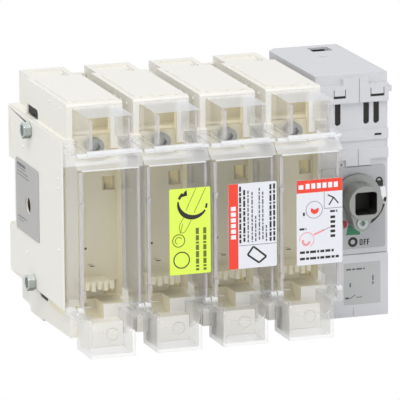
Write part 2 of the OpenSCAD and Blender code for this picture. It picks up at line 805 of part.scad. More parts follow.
// Forked crank on the end of the bar; the fork holds the drive pin
module drive_crank() {
    x = [axis_x + 2, axis_x + crank_r + 3.5];
    color("darkgray") on_bar(-bar_swing) difference() {
        on_bar(bar_swing / 2) union() {
            bore_x(bar_y, 0, 9, x);
            slab(x, [-bar_y - fork_len - 2, -bar_y], [-fork_h / 2, fork_h / 2]);
        }
        bar_hole([0, mech_right]);
        on_bar(bar_swing / 2) slab([0, mech_right], [-bar_y - fork_len - 5, -bar_y - fork_len + 5],
            [-ball_r - fork_play, ball_r + fork_play]);
    }
}

module end_plate() {
    color("ivory") difference() {
        along_x([poles_left - plate_t, poles_left - pole_play / 2]) difference() {
            translate([-plate_d, -plate_bottom]) square([plate_d - plate_back, mid_top + plate_bottom]);
            // Recess across the back, and the slot above it
            translate([-back_recess_d, back_recess_z[0]])
                square([back_recess_d, back_recess_z[1] - back_recess_z[0]]);
            translate([-plate_back - 4, back_recess_z[1] + 5]) square([1.4, 17]);
            translate([-bar_y, 0]) circle(4.2);
        }
        tie_holes([poles_left - 5, poles_left + 5]);
    }
}

module tie_rods() {
    x = [poles_left - plate_t - nut_t, mech_left + case_wall - 0.5];
    color("silver") {
        bore_x(tie_top_y, tie_top_z, tie_r, x);
        bore_x(tie_bottom_y, -tie_bottom_z, tie_r, x);
    }
}

module tie_nuts() {
    color("silver") for (p = [[-tie_top_y, tie_top_z], [-tie_bottom_y, -tie_bottom_z]])
        translate([poles_left - plate_t - 0.1, p[0], p[1]]) rotate([0, -90, 0]) difference() {
            cylinder(r = nut_af / 2 / cos(30), h = nut_t, $fn = 6);
            translate([0, 0, -over]) cylinder(r = tie_r + 0.1, h = nut_t + 2 * over);
        }
}

module data_label() {
    color("lightgray") along_x([poles_left - plate_t - label_t - 0.05, poles_left - plate_t - 0.05])
        difference() {
            round_rect([-bar_y - label_reach, -bar_y + label_reach + 2.5],
                [-label_reach + 3.1, label_reach + 2.5], 2);
            translate([-bar_y, 0]) circle(4.6);
        }
}

module mechanism_case() {
    room_h = arm_len - 5;
    color("gainsboro") difference() {
        slab([mech_left, mech_right], [-front_back, 0], [-mech_bottom, cap_z - seat]);
        // Room for the crank, open to the front moulding
        slab([mech_left + case_wall, mech_right - case_wall], [-front_back - over, -switch_back + over],
            [-room_h, room_h]);
        bore_x(bar_y, 0, journal_r - 0.5, [mech_left - over, mech_left + case_wall + over]);
        tie_holes([mech_left - over, mech_left + case_wall]);
    }
}

module mechanism_front() {
    color("gainsboro") difference() {
        union() {
            slab([mech_left, mech_right], [-mech_d + 1.5, -front_back - seat], [front_low, cap_z - seat]);
            for (z = [band_low, band_high])
                slab([mech_left, mech_right], [-mech_d, -front_back - over], z);
            slab([mech_left, mech_right - 1.6], [-mech_d + 0.7, -front_back - over],
                [band_low[1] - over, band_high[0] + over]);
            slab([axis_x + flap_x[0], axis_x + flap_x[1]], [-mech_d, -front_back - over],
                [flap_low, band_low[0] + over]);
        }
        // Parting line of the flap
        slab([axis_x + 1, axis_x + 1.5], [-mech_d - over, -mech_d + 0.6], [flap_low - over, band_low[1] + 1]);
        // Slot in the upper band
        slab([mech_right - 7.8, mech_right - 3.8], [-mech_d - over, -mech_d + 2.5], [32.6, 33.8]);
        // Vent slots with round lower ends
        for (x = [-9.6, 6.3, 11.9]) along_y([front_back + 2, mech_d + over])
            translate([axis_x + x, 0]) {
                translate([-1.6, 40.4]) square([3.2, cap_z - seat - 40.4 - 0.4]);
                translate([0, 40.4]) circle(1.6);
            }
        // Hole beside the flap
        bore_y(axis_x - 7.6, 17.6, 0.7, [mech_d - 4, mech_d + over]);
        bore_y(axis_x, 0, shaft_r + running_play, [front_back - over, mech_d + over]);
    }
}

module contact_cap() {
    color("gainsboro") difference() {
        union() {
            // Lid with its back left corner cut off
            along_z([cap_z, mech_top]) polygon([
                [mech_left, -lid_d], [mech_right, -lid_d], [mech_right, 0],
                [mech_left + 4, 0], [mech_left, -5]
            ]);
            slab([mech_left, mech_right], [-mech_d - 0.5, -lid_d + over], [cap_z, cap_ledge_z]);
            slab([axis_x + block_x[0], axis_x + block_x[1]], [-mech_d - 0.5, -lid_d + over],
                [cap_z, cap_ledge_z + 3.6]);
            // Catch that stands out on the right
            slab([mech_right - over, mech_right + 1.7], [-mech_d - 0.5, -mech_d + 3.5],
                [cap_ledge_z - 4.6, cap_ledge_z - 1.6]);
        }
        // Parting line of the middle block
        slab([axis_x + 1.5, axis_x + 2], [-mech_d - over, -mech_d + 0.1], [cap_z - over, cap_ledge_z + 5]);
        // Clip slots on each side of the block
        for (x = [[block_x[0] - 5.4, block_x[0] + 1.4], [block_x[1] + 1, block_x[1] + 8.8]]) {
            slab([axis_x + x[0], axis_x + x[1]], [-mech_d - over, -mech_d + 4], [53.7, 55.1]);
            for (u = [x[0], x[1] - 0.5]) slab([axis_x + u, axis_x + u + 0.5],
                [-mech_d - over, -mech_d + 1], [55, 58.4]);
        }
        // Pocket at the back of the lid, and the oval sink in front of it
        slab([mech_left + 21, mech_left + 32.3], [-16, -5.5], [mech_top - 12, mech_top + over]);
        translate([0, 0, mech_top - 0.6]) linear_extrude(2)
            round_rect([mech_left + 19.5, mech_left + 24], [-32, -28.8], 1.5);
    }
}

module lower_front_cover() {
    color("gainsboro") difference() {
        slab([mech_left, mech_right], [-mech_d + 0.5, -front_back - seat],
            [-mech_bottom, front_low - seat]);
        // Parting line under the label
        slab([axis_x - 1.7, axis_x - 1.3], [-mech_d, -mech_d + 1], [-mech_bottom - over, -mech_bottom + 5]);
    }
}

module fascia_plate() {
    color("silver") difference() {
        along_y([mech_d - 1.5 + 0.05, mech_d - 0.2])
            round_rect([mech_left + 3, mech_right - 1.8], [-fascia_bottom, fascia_top], 1);
        bore_y(axis_x, 0, shaft_r + 0.5, [front_back, mech_d + over]);
    }
}

// Shaft with a disc and the drive pin behind it, in the OFF position
module drive_shaft() {
    color("gray") {
        bore_y(axis_x, 0, shaft_r, [front_back - 1, mech_d + 0.5]);
        bore_y(axis_x, 0, crank_r + 3.5, [front_back - 5, front_back - 1]);
        translate([axis_x + crank_r * cos(45), 0, crank_r * sin(45)]) {
            bore_y(0, 0, 1.6, [ball_y, front_back - 4]);
            translate([0, -ball_y, 0]) sphere(ball_r);
        }
    }
}

module shaft_coupling() {
    color("darkgray") difference() {
        union() {
            bore_y(axis_x, 0, flange_r, [mech_d + 0.5, mech_d + 3]);
            bore_y(axis_x, 0, barrel_r, [mech_d + 2, barrel_front]);
            along_y([mech_d + 2, clamp_front]) clamp_shape();
        }
        along_y([barrel_front - socket_d, barrel_front + over])
            round_rect([axis_x - socket_side / 2, axis_x + socket_side / 2],
                [-socket_side / 2, socket_side / 2], 1.8);
        bore_y(axis_x + clamp_x, clamp_z, clamp_screw_r + 0.1, [clamp_front - 5, clamp_front + over]);
        bore_y(axis_x + clamp_x, clamp_z, clamp_screw_r - 1, [mech_d + 4, clamp_front]);
    }
}

// Lug under the barrel, narrowing to a round end about the screw
module clamp_shape() {
    translate([axis_x + clamp_x, clamp_z]) circle(clamp_r);
    polygon([
        [axis_x - barrel_r + 0.6, -2], [axis_x + clamp_x - clamp_r, clamp_z],
        [axis_x + clamp_x + clamp_r, clamp_z], [axis_x + barrel_r - 0.6, -2]
    ]);
}

// Socket-head screw in the lug
module coupling_screw() {
    x = axis_x + clamp_x;
    color("dimgray") difference() {
        union() {
            bore_y(x, clamp_z, clamp_screw_r - 1.1, [mech_d + 5, clamp_front - 4]);
            bore_y(x, clamp_z, clamp_screw_r, [clamp_front - 4.9, clamp_front + 0.8]);
        }
        translate([x, -clamp_front + 2, clamp_z]) rotate([90, 0, 0]) cylinder(r = 1.6, h = 5, $fn = 6);
    }
}

// Stickers on the covers, as thin fields on the front face
module sticker(i, x, z) {
    in_pole(i) along_y([cover_front + 0.02, cover_front + 0.22])
        round_rect(x, z, 0.8);
}

module sticker_lime() {
    color("yellow") sticker(2, [-4.8, 17.4], [-22.9, 22.4]);
}

module sticker_side_band() {
    color("white") sticker(3, [-8.9, 17.4], [-22.5, 22.5]);
}

module sticker_top_band() {
    color("white") sticker(4, [-7.7, 17.4], [-23.6, 21.5]);
}

for (i = [1:4]) {
    pole_base(i);
    fuse_cover(i);
    terminal_hood(i);
    terminal_shroud(i);
    upper_terminal(i);
    lower_terminal(i);
    upper_fuse_clip(i);
    lower_fuse_clip(i);
    contact_rotor(i);
}
moving_contacts();
terminal_screws();
switching_bar();
drive_crank();
end_plate();
tie_rods();
tie_nuts();
data_label();
mechanism_case();
mechanism_front();
contact_cap();
lower_front_cover();
fascia_plate();
drive_shaft();
shaft_coupling();
coupling_screw();
sticker_lime();
sticker_side_band();
sticker_top_band();
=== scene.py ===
"""Looks of a four-pole fuse switch disconnector, built round its CAD frame.

Lengths in the settings are metres. The row frame is used throughout: +X runs along
the poles to the mechanism, -Y is the front and +Z is up.
"""

import json
import math

import bmesh
import bpy
from mathutils import Matrix, Vector


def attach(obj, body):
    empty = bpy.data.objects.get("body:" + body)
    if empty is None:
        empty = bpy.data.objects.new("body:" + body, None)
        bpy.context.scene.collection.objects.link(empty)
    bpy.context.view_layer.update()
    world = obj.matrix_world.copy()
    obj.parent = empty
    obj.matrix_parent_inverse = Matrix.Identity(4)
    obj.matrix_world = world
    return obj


bl_info = {
    "name": "Fuse switch disconnector looks",
    "version": (1, 0, 0),
    "blender": (4, 5, 0),
    "location": "View3D > Sidebar > Fuse switch",
    "description": "Materials, printed fields, small mouldings and stage of a fuse switch",
    "category": "Object",
}

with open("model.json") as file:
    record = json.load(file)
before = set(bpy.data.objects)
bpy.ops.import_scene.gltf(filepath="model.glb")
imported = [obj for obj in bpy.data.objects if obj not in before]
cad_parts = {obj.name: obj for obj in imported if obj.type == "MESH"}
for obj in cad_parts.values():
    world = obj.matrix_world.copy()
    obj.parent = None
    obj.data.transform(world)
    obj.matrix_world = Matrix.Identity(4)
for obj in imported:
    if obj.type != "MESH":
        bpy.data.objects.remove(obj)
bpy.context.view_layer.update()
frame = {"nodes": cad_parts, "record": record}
NODES = frame["nodes"]
SLOTS = {row["node"]: row["material_slot"] for row in frame["record"]["subparts"]}

MM = 0.001
POLES = (1, 2, 3, 4)
POLE_PITCH = 36.0
# Depths in millimetres from the back plane
STICKER_FACE = 121.72
FASCIA_FACE = 80.3
LOWER_COVER_FACE = 80.0
BACK_WALL = 79.4
# X of the coupling's axis and of the face of the data label, in millimetres
AXIS_X = 94.0
LABEL_X = -73.45
END_PLATE_X = -73.0
# Half the width of the coupling's socket and the depths of its floor and mouth
SOCKET_HALF = 5.98
SOCKET_DEPTHS = (84.1, 84.3, 95.3)
SOCKET_CORNER = 1.6
# Heights of the windows in the back walls, half their height and where they run in X
WINDOW_HEIGHTS = (18.5, -37.0)
WINDOW_HALF = 3.6
WINDOW_SPAN = (8.6, 15.8)
# Underside of the low ribs on the tops of the housings
ROOF = 64.6
# A second layer of print lies this much above the first, in millimetres
SECOND_PRINT = 0.03
FLOOR_HEIGHT = -0.0655
# Moulded grain, in features per metre, and its strength
GRAIN_SCALE = 2500.0
GRAIN_STRENGTH = 0.15
# Reach of the shade in hollows, in metres
HOLLOW_REACH = 0.012
# Painted light as emission, for light that comes through the walls: in the whole chamber,
# in its sides and under the hood
CHAMBER_GLOW = 0.02
SIDE_GLOW = 0.16
HOOD_GLOW = 0.12
# Points closer than this are welded before the edges are rounded, in metres
WELD_DISTANCE = 0.000002
EDGE_ANGLE = 35

# Camera that was fitted to the photograph
CAMERA_AT = (-831.5, -2612.8, 625.9)
CAMERA_YAW = 18.33
CAMERA_PITCH = 13.09
CAMERA_ROLL = -0.478
LENS = 472.95


def pole_x(i):
    """X of a pole's middle, in millimetres."""
    return (i - 2.5) * POLE_PITCH


# Colours and node helpers


def linear(hex_colour):
    """A hex sRGB colour as linear RGBA."""
    channels = [int(hex_colour[i:i + 2], 16) / 255 for i in (0, 2, 4)]
    out = [c / 12.92 if c <= 0.04045 else ((c + 0.055) / 1.055) ** 2.4 for c in channels]
    return out + [1.0]


def colour_prop(name, description, hex_colour):
    return bpy.props.FloatVectorProperty(
        name=name, description=description, subtype="COLOR", size=4, min=0, max=1,
        default=linear(hex_colour))


def length_prop(name, description, default):
    return bpy.props.FloatProperty(
        name=name, description=description, default=default, min=0, unit="LENGTH",
        precision=5)


class FuseSwitchColours(bpy.types.PropertyGroup):
    """Colours that a user would change."""

    housing: colour_prop("Housing", "Cream of the pole housings", "EEEBE2")
    # painted shade and bounce light: the khaki that the cream plastic takes inside the chambers
    chamber: colour_prop("Chambers", "Khaki inside the chambers", "DAD3B8")
    clear: colour_prop("Clear parts", "Tint of the clear covers and hoods", "EAE8E4")
    # painted highlight on the edges of the clear parts
    clear_edge_highlight: colour_prop("Clear edges", "Light on the edges of the clear parts", "FFFFFF")
    mechanism: colour_prop("Mechanism", "Grey of the mechanism", "D4D4D6")
    lime: colour_prop("Lime sticker", "Field of the lime sticker", "E2FA58")
    white: colour_prop("White stickers", "Field of the white stickers", "E9E9EE")
    red: colour_prop("Red bands", "Bands of the white stickers", "F4422C")
    ink: colour_prop("Ink", "Printed shapes", "23221C")
    on_field: colour_prop("ON field", "Red position field", "B23A38")
    off_field: colour_prop("OFF field", "Green position field", "2E7D57")


class FuseSwitchSizes(bpy.types.PropertyGroup):
    """Sizes that a user would change."""

    edge: length_prop("Edge radius", "Rounding of the moulded edges", 0.0005)
    print_lift: length_prop("Print lift", "Height of the print above its field", 0.00003)


def settings():
    scene = bpy.context.scene
    return scene.fuse_switch_colours, scene.fuse_switch_sizes


def new_material(name):
    material = bpy.data.materials.new(name)
    material.use_nodes = True
    nodes = material.node_tree.nodes
    return material, nodes, material.node_tree.links, nodes["Principled BSDF"]


def add_grain(nodes, links, shader, scale, strength, distance):
    """Fine moulded grain in the shader's normal. scale is in features per metre."""
    coords = nodes.new("ShaderNodeTexCoord")
    noise = nodes.new("ShaderNodeTexNoise")
    noise.inputs["Scale"].default_value = scale
    noise.inputs["Detail"].default_value = 3.0
    bump = nodes.new("ShaderNodeBump")
    bump.inputs["Strength"].default_value = strength
    bump.inputs["Distance"].default_value = distance
    links.new(coords.outputs["Object"], noise.inputs["Vector"])
    links.new(noise.outputs["Fac"], bump.inputs["Height"])
    links.new(bump.outputs["Normal"], shader.inputs["Normal"])
    return noise


def moulded(name, colour, roughness):
    """Opaque moulded plastic with a fine grain."""
    material, nodes, links, shader = new_material(name)
    shader.inputs["Base Color"].default_value = colour
    shader.inputs["Roughness"].default_value = roughness
    shader.inputs["IOR"].default_value = 1.5
    add_grain(nodes, links, shader, GRAIN_SCALE, GRAIN_STRENGTH, 0.00005)
    return material


def math_node(nodes, links, operation, *values):
    """A math node; each value is a number or a socket. Returns its output."""
    node = nodes.new("ShaderNodeMath")
    node.operation = operation
    for socket, value in zip(node.inputs, values):
        if isinstance(value, (int, float)):
            socket.default_value = value
        else:
            links.new(value, socket)
    return node.outputs["Value"]


def colour_mix(nodes, links, factor, a, b):
    """Mixes two colours, each a value or a socket. Returns the output socket."""
    mix = nodes.new("ShaderNodeMix")
    mix.data_type = "RGBA"
    links.new(factor, mix.inputs["Factor"])
    for name, value in (("A", a), ("B", b)):
        socket = next(i for i in mix.inputs if i.name == name and i.type == "RGBA")
        if isinstance(value, bpy.types.NodeSocket):
            links.new(value, socket)
        else:
            socket.default_value = value
    return next(o for o in mix.outputs if o.type == "RGBA")


def box_mask(nodes, links, across, place, half_x, depth, z):
    """1 inside a box that repeats in every pole, 0 outside it; lengths in millimetres."""
    limits = ((across, 0.0, half_x),
              (place.outputs["Y"], -sum(depth) / 2, (depth[1] - depth[0]) / 2),
              (place.outputs["Z"], sum(z) / 2, (z[1] - z[0]) / 2))
    parts = [math_node(nodes, links, "COMPARE", value, centre * MM, half * MM)
             for value, centre, half in limits]
    flat = math_node(nodes, links, "MULTIPLY", parts[0], parts[1])
    return math_node(nodes, links, "MULTIPLY", flat, parts[2])


def housing_plastic(name, outside, inside, deep):
    """Cream plastic painted khaki inside the chambers as shade and bounce light, darker in
    deep corners as painted shade, and glowing there as painted light.
    """
    material, nodes, links, shader = new_material(name)
    shader.inputs["Roughness"].default_value = 0.5
    add_grain(nodes, links, shader, GRAIN_SCALE, GRAIN_STRENGTH, 0.00005)
    coords = nodes.new("ShaderNodeTexCoord")
    place = nodes.new("ShaderNodeSeparateXYZ")
    links.new(coords.outputs["Object"], place.inputs["Vector"])
    turns = math_node(nodes, links, "MULTIPLY", place.outputs["X"], 1 / (POLE_PITCH * MM))
    wrapped = math_node(nodes, links, "FRACT", math_node(nodes, links, "ADD", turns, 10.0))
    across = math_node(nodes, links, "MULTIPLY",
                       math_node(nodes, links, "SUBTRACT", wrapped, 0.5), POLE_PITCH * MM)
    # the chambers, where the cream is painted khaki as shade and bounce light
    tray = box_mask(nodes, links, across, place, 16.6, (60.0, 86.8), (-49.0, 33.2))
    lower = box_mask(nodes, links, across, place, 14.5, (60.0, 97.5), (-48.8, -27.0))
    upper = box_mask(nodes, links, across, place, 12.2, (60.0, 94.0), (34.4, 62.6))
    mask = tray
    for extra in (lower, upper):
        mask = math_node(nodes, links, "MAXIMUM", mask, extra)
    # painted shade: hollows within reach turn from the chamber colour towards the darker deep
    # colour
    hollow = nodes.new("ShaderNodeAmbientOcclusion")
    hollow.only_local = True
    hollow.samples = 8
    hollow.inputs["Distance"].default_value = HOLLOW_REACH
    shade = math_node(nodes, links, "SUBTRACT", 1.0, hollow.outputs["AO"])
    khaki = colour_mix(nodes, links, shade, inside, deep)
    # painted shade and bounce light: khaki inside the chambers, darkened further in hollows
    colour = colour_mix(nodes, links, mask, outside, khaki)
    links.new(colour, shader.inputs["Base Color"])
    # painted light: khaki emission in the chambers, stronger on their side walls and under the hood
    shader.inputs["Emission Color"].default_value = inside
    facing = nodes.new("ShaderNodeSeparateXYZ")
    links.new(coords.outputs["Normal"], facing.inputs["Vector"])
    sides = math_node(nodes, links, "MULTIPLY", mask,
                      math_node(nodes, links, "ABSOLUTE", facing.outputs["X"]))
    through = math_node(nodes, links, "MULTIPLY_ADD", upper, HOOD_GLOW,
                        math_node(nodes, links, "MULTIPLY", sides, SIDE_GLOW))
    links.new(math_node(nodes, links, "MULTIPLY_ADD", mask, CHAMBER_GLOW, through),
              shader.inputs["Emission Strength"])
    return material


def metal_with_painted_shade(name, light, dark):
    """Plated metal with painted shade: its facets grow darker as they turn down."""
    material, nodes, links, shader = new_material(name)
    coords = nodes.new("ShaderNodeTexCoord")
    facing = nodes.new("ShaderNodeSeparateXYZ")
    links.new(coords.outputs["Normal"], facing.inputs["Vector"])
    # painted shade: facets that face down take the dark colour
    down = math_node(nodes, links, "MULTIPLY_ADD", facing.outputs["Z"], -0.5, 0.5)
    links.new(colour_mix(nodes, links, down, light, dark), shader.inputs["Base Color"])
    shader.inputs["Metallic"].default_value = 0.8
    shader.inputs["Roughness"].default_value = 0.25
    return material


def metal(name, colour, roughness, scale=900.0, strength=0.1):
    material, nodes, links, shader = new_material(name)
    shader.inputs["Base Color"].default_value = colour
    shader.inputs["Metallic"].default_value = 1.0
    shader.inputs["Roughness"].default_value = roughness
    add_grain(nodes, links, shader, scale, strength, 0.00006)
    return material


def clear_plastic(name, tint, light, veil):
    """Clear plastic without refraction. Its veil is thin on the front and thicker on the sides.
    Faces that look up get a thicker veil in a lighter colour as painted light. Faces seen from
    within show nothing, and shadow and bounce light pass through all of them."""
    material, nodes, links, shader = new_material(name)
    coords = nodes.new("ShaderNodeTexCoord")
    facing = nodes.new("ShaderNodeSeparateXYZ")
    links.new(coords.outputs["Normal"], facing.inputs["Vector"])
    side = math_node(nodes, links, "ABSOLUTE", facing.outputs["X"])
    # painted light: faces that look up get a thicker veil
    up = math_node(nodes, links, "MAXIMUM", facing.outputs["Z"], 0.0)
    sideways = math_node(nodes, links, "MULTIPLY", side, veil[1])
    upward = math_node(nodes, links, "MULTIPLY", up, veil[2])
    both = math_node(nodes, links, "ADD", sideways, upward)
    alpha = math_node(nodes, links, "ADD", both, veil[0])
    # painted light: faces that look up are mixed towards the light colour
    links.new(colour_mix(nodes, links, up, tint, light), shader.inputs["Base Color"])
    shader.inputs["Roughness"].default_value = 0.12
    gloss = nodes.new("ShaderNodeBsdfGlossy")
    gloss.inputs["Roughness"].default_value = 0.06
    rim = nodes.new("ShaderNodeFresnel")
    rim.inputs["IOR"].default_value = 1.38
    shiny = nodes.new("ShaderNodeMixShader")
    through = nodes.new("ShaderNodeBsdfTransparent")
    path = nodes.new("ShaderNodeLightPath")
    swap = nodes.new("ShaderNodeMixShader")
    surface = nodes.new("ShaderNodeNewGeometry")
    outside = math_node(nodes, links, "SUBTRACT", 1.0, surface.outputs["Backfacing"])
    links.new(math_node(nodes, links, "MULTIPLY", rim.outputs["Fac"], outside), shiny.inputs["Fac"])
    links.new(math_node(nodes, links, "MULTIPLY", alpha, outside), shader.inputs["Alpha"])
    links.new(shader.outputs["BSDF"], shiny.inputs[1])
    links.new(gloss.outputs["BSDF"], shiny.inputs[2])
    links.new(math_node(nodes, links, "MAXIMUM", path.outputs["Is Shadow Ray"],
                        path.outputs["Is Diffuse Ray"]), swap.inputs["Fac"])
    links.new(shiny.outputs["Shader"], swap.inputs[1])
    links.new(through.outputs["BSDF"], swap.inputs[2])
    links.new(swap.outputs["Shader"], nodes["Material Output"].inputs["Surface"])
    return material


def milky_highlight(name, colour, alpha):
    """Painted light caught in an edge or a thick corner of clear plastic."""
    material, _, _, shader = new_material(name)
    shader.inputs["Base Color"].default_value = colour
    shader.inputs["Roughness"].default_value = 0.2
    shader.inputs["Alpha"].default_value = alpha
    return material


def printed(name, colour, roughness=0.45):
    material, _, _, shader = new_material(name)
    shader.inputs["Base Color"].default_value = colour
    shader.inputs["Roughness"].default_value = roughness
    return material


def glow(name, colour, strength):
    """Plastic with an emission, painted light that makes it look lit from behind."""
    material, _, _, shader = new_material(name)
    shader.inputs["Base Color"].default_value = colour
    shader.inputs["Roughness"].default_value = 0.6
    shader.inputs["Emission Color"].default_value = colour
    shader.inputs["Emission Strength"].default_value = strength
    return material


# Mesh helpers, all in millimetres


def finish_piece(name, bm, material, body):
    """Makes an object of the bmesh, which is in millimetres, and rides it on a body."""
    bmesh.ops.scale(bm, vec=Vector((MM, MM, MM)), verts=bm.verts)
    bmesh.ops.recalc_face_normals(bm, faces=bm.faces)
    mesh = bpy.data.meshes.new(name)
    bm.to_mesh(mesh)
    bm.free()
    mesh.materials.append(material)
    obj = bpy.data.objects.new(name, mesh)
    bpy.context.scene.collection.objects.link(obj)
    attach(obj, body)
    return obj


def add_box(bm, x, y, z):
    """A block; y holds depths from the back plane."""
    low = Vector((x[0], -y[1], z[0]))
    high = Vector((x[1], -y[0], z[1]))
    place = Matrix.Translation((low + high) / 2) @ Matrix.Diagonal((*(high - low), 1.0))
    bmesh.ops.create_cube(bm, size=1.0, matrix=place)


def add_polygon(bm, points, depth):
    """A flat face in the XZ plane at a depth, looking forward."""
    verts = [bm.verts.new((x, -depth, z)) for x, z in points]
    bm.faces.new(verts)


def add_strip(bm, inner, outer, depth):
    """Quads between two equal lists of points."""
    for a, b, c, d in zip(inner, inner[1:], outer[1:], outer):
        add_polygon(bm, (a, b, c, d), depth)


def arc(cx, cz, r, start, end, steps=40):
    """Points on an arc; angles in degrees from +X towards +Z."""
    turns = [math.radians(start + (end - start) * k / steps) for k in range(steps + 1)]
    return [(cx + r * math.cos(t), cz + r * math.sin(t)) for t in turns]


def add_ring(bm, cx, cz, r_in, r_out, depth, start=0.0, end=360.0):
    add_strip(bm, arc(cx, cz, r_in, start, end), arc(cx, cz, r_out, start, end), depth)


def add_line(bm, a, b, width, depth):
    """A straight printed line between two points."""
    along = Vector((b[0] - a[0], b[1] - a[1])).normalized() * width / 2
    side = (-along.y, along.x)
    add_polygon(bm, ((a[0] + side[0], a[1] + side[1]), (b[0] + side[0], b[1] + side[1]),
                     (b[0] - side[0], b[1] - side[1]), (a[0] - side[0], a[1] - side[1])), depth)


def add_side_polygon(bm, points, x):
    """A flat face in the YZ plane, looking left; points hold (depth, Z)."""
    verts = [bm.verts.new((x, -depth, z)) for depth, z in points]
    bm.faces.new(verts)


def add_words(bm, start, end, across, thick, depth, upright=False, words=(5, 3, 6, 2, 4)):
    """A row of plain dashes in the place of printed words. start and end run along the row
    and across is its other coordinate; upright rows run along Z."""
    at, k = start, 0
    step = 1 if end > start else -1
    while (end - at) * step > 0.4:
        stop = at + step * min(words[k % len(words)] * 0.55, abs(end - at))
        if upright:
            add_polygon(bm, rect((across - thick / 2, across + thick / 2), (at, stop)), depth)
        else:
            add_polygon(bm, rect((at, stop), (across - thick / 2, across + thick / 2)), depth)
        at, k = stop + step * 0.6, k + 1


def rect(x, z):
    return ((x[0], z[0]), (x[1], z[0]), (x[1], z[1]), (x[0], z[1]))


# Materials


def build_materials():
    colours, _ = settings()
    return {
        # the last colour is painted shade for the deep corners of the chambers
        "housing": housing_plastic("housing_cream", colours.housing, colours.chamber,
                                   linear("D0C8AC")),
        "clear_plastic": clear_plastic("clear_plastic", colours.clear, colours.clear_edge_highlight,
                                       (0.05, 0.27, 0.5)),
        "clear_shroud": clear_plastic("clear_shroud", colours.clear, colours.clear_edge_highlight,
                                      (0.26, 0.34, 0.5)),
        "clear_edge_highlight": milky_highlight("clear_edge_highlight", colours.clear_edge_highlight, 0.62),
        # painted highlight in the thick corners of the clear parts
        "clear_corner_highlight": milky_highlight("clear_corner_highlight", linear("DDD7D8"), 0.5),
        "plated_copper": metal("plated_copper", linear("E2DAC0"), 0.45),
        "rotor_plastic": moulded("rotor_plastic", linear("BDB595"), 0.5),
        "steel": metal("steel", linear("9FA09C"), 0.3),
        # painted shade: facets of the plated parts darken as they turn down
        "zinc_plated_steel": metal_with_painted_shade("zinc_plated", linear("EAF2EE"), linear("5E6663")),
        "thread": metal("thread", linear("70756F"), 0.45, 3000.0, 0.6),
        # painted light: faint khaki glow in the windows
        "window": glow("window", linear("B8AF8C"), 0.05),
        # painted light: the clips glow khaki
        "clip": glow("clip", linear("B9AF86"), 0.45),
        "label_grey": printed("label_grey", linear("B2B0AC"), 0.4),
        "mechanism_plastic": moulded("mechanism_grey", colours.mechanism, 0.45),
        "fascia": printed("fascia", linear("B4B4B6"), 0.4),
        "zinc_casting": metal("zinc_casting", linear("9FA09C"), 0.42, 1500.0, 0.35),
        "sticker_lime": printed("sticker_lime", colours.lime, 0.35),
        "sticker_white": printed("sticker_white", colours.white, 0.35),
        "ink": printed("ink", colours.ink, 0.5),
        "olive_ink": printed("olive_ink", linear("6B7420"), 0.5),
        "red": printed("red_band", colours.red, 0.4),
        "pink": printed("pink", linear("F29AA0"), 0.4),
        "white_ink": printed("white_ink", linear("F4F4F6"), 0.4),
        "on_field": printed("on_field", colours.on_field, 0.4),
        "off_field": printed("off_field", colours.off_field, 0.4),
        "grey_ink": printed("grey_ink", linear("5B5A60"), 0.5),
        "label_field": printed("label_field", linear("BCBDBC"), 0.4),
        # painted shade: near black for the hollows of slots, pockets, socket and slits
        "hole_shade": printed("hole_shade", linear("1E1C18"), 0.6),
    }


MATERIALS = {}


class FUSESWITCH_OT_materials(bpy.types.Operator):
    """Gives every CAD node the finish of its material slot"""

    bl_idname = "fuseswitch.materials"
    bl_label = "Materials"

    def execute(self, context):
        MATERIALS.update(build_materials())
        for name, obj in NODES.items():
            obj.data.materials.clear()
            obj.data.materials.append(MATERIALS[SLOTS[name]])
            if SLOTS[name] == "clear_plastic":
                # painted highlight: the rounded edges of the clear parts take the second material
                obj.data.materials.append(MATERIALS["clear_edge_highlight"])
        for i in POLES:
            NODES[f"terminal_shroud_{i}"].data.materials[0] = MATERIALS["clear_shroud"]
            # painted light: the plated fuse clips are drawn as glowing khaki plastic
            NODES[f"upper_fuse_clip_{i}"].data.materials[0] = MATERIALS["clip"]
            NODES[f"lower_fuse_clip_{i}"].data.materials[0] = MATERIALS["clip"]
        NODES["tie_rods"].data.materials[0] = MATERIALS["thread"]
        NODES["coupling_screw"].data.materials[0] = MATERIALS["zinc_plated_steel"]
        return {"FINISHED"}


class FUSESWITCH_OT_edges(bpy.types.Operator):
    """Rounds the moulded edges of the CAD nodes"""

    bl_idname = "fuseswitch.edges"
    bl_label = "Edges"

    def execute(self, context):
        _, sizes = settings()
        soft = ("pole_base", "fuse_cover", "terminal_hood", "terminal_shroud", "mechanism",
                "contact_cap", "lower_front", "end_plate", "shaft_coupling", "tie_nuts")
        for name, obj in NODES.items():
            if not name.startswith(soft):
                continue
            weld = obj.modifiers.new("weld", "WELD")
            weld.merge_threshold = WELD_DISTANCE
            bevel = obj.modifiers.new("edge", "BEVEL")
            bevel.width = sizes.edge
            bevel.segments = 2
            bevel.limit_method = "ANGLE"
            bevel.angle_limit = math.radians(EDGE_ANGLE)
            # painted highlight: the rounded edges of the clear parts take the second material
            if SLOTS[name] == "clear_plastic":
                bevel.material = 1
        return {"FINISHED"}


